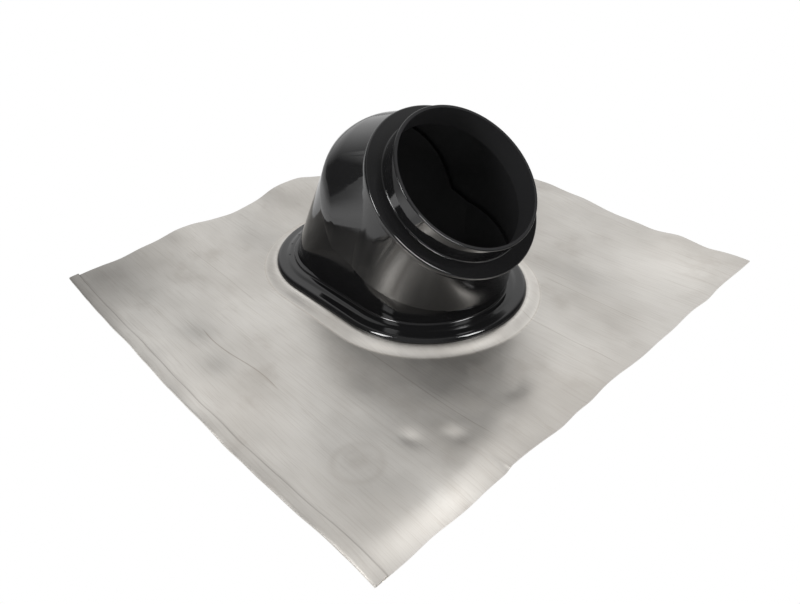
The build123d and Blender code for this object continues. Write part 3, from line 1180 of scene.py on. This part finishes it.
def add_world():
    """White to the camera; else a dim room, a bright screen behind and a fainter glow in front."""
    world = bpy.data.worlds.new("studio")
    bpy.context.scene.world = world
    world.use_nodes = True
    tree = world.node_tree
    background = tree.nodes["Background"]
    place = add_node(tree, "ShaderNodeTexCoord").outputs["Generated"]
    axes = add_node(tree, "ShaderNodeSeparateXYZ")
    tree.links.new(place, axes.inputs[0])
    level = ranged(tree, axes.outputs["Z"], *OVERHEAD)
    for heading, rim, middle, bright in SCREENS:
        toward = add_node(tree, "ShaderNodeVectorMath", operation="DOT_PRODUCT")
        tree.links.new(place, toward.inputs[0])
        toward.inputs[1].default_value = compass(*heading)
        screen = ranged(tree, toward.outputs["Value"], rim, middle, 0, bright)
        level = worked(tree, "ADD", level, screen)
    path = add_node(tree, "ShaderNodeLightPath")
    strength = add_node(tree, "ShaderNodeMix", data_type="FLOAT")
    tree.links.new(path.outputs["Is Camera Ray"], strength.inputs["Factor"])
    tree.links.new(level, strength.inputs["A"])
    strength.inputs["B"].default_value = 1.0
    tree.links.new(strength.outputs["Result"], background.inputs["Strength"])
    background.inputs["Color"].default_value = (1, 1, 1, 1)


def add_lamp(name, place, aim, size, power):
    """A soft area lamp that faces a point."""
    lamp = bpy.data.objects.new(name, bpy.data.lights.new(name, "AREA"))
    lamp.data.shape = "RECTANGLE"
    lamp.data.size, lamp.data.size_y = size
    lamp.data.energy = power
    facing = (Vector(place) - Vector(aim)).to_track_quat("Z", "Y").to_matrix().to_4x4()
    lamp.matrix_world = Matrix.Translation(place) @ facing
    bpy.context.scene.collection.objects.link(lamp)


class SCENE_OT_flue_stage(bpy.types.Operator):
    """Sets the camera, the floor, the world and the lamps"""

    bl_idname = "scene.flue_stage"
    bl_label = "Studio Stage"

    def execute(self, context):
        add_camera()
        add_floor()
        add_world()
        for name, heading, size, power in LAMPS:
            add_lamp(name, compass(*heading) * LAMP_REACH, LAMP_AIM, size, power)
        context.scene.view_settings.view_transform = "Standard"
        return {"FINISHED"}


class VIEW3D_PT_flue_seal(bpy.types.Panel):
    """Sidebar panel of the flue seal"""

    bl_label = "Flue Seal"
    bl_idname = "VIEW3D_PT_flue_seal"
    bl_space_type = "VIEW_3D"
    bl_region_type = "UI"
    bl_category = "Flue Seal"

    def draw(self, context):
        for group in (context.scene.flue_sheet, context.scene.flue_cowl, context.scene.flue_stage):
            box = self.layout.box()
            for name in group.__annotations__:
                box.prop(group, name)
        for operator in OPERATORS:
            self.layout.operator(operator.bl_idname)


OPERATORS = (OBJECT_OT_flue_sheet, OBJECT_OT_flue_base, OBJECT_OT_flue_hood, SCENE_OT_flue_stage)
GROUPS = {
    "flue_sheet": FlueSheetSettings,
    "flue_cowl": FlueCowlSettings,
    "flue_stage": FlueStageSettings,
}


def register():
    """Registers the settings, the operators and the panel."""
    for name, group in GROUPS.items():
        bpy.utils.register_class(group)
        setattr(bpy.types.Scene, name, bpy.props.PointerProperty(type=group))
    for item in (*OPERATORS, VIEW3D_PT_flue_seal):
        bpy.utils.register_class(item)


def unregister():
    """Takes the registered classes away again."""
    for item in (VIEW3D_PT_flue_seal, *reversed(OPERATORS)):
        bpy.utils.unregister_class(item)
    for name, group in GROUPS.items():
        delattr(bpy.types.Scene, name)
        bpy.utils.unregister_class(group)


def main():
    """Makes every piece and the stage."""
    register()
    bpy.ops.object.flue_sheet()
    bpy.ops.object.flue_base()
    bpy.ops.object.flue_hood()
    bpy.ops.scene.flue_stage()


if __name__ == "__main__":
    main()
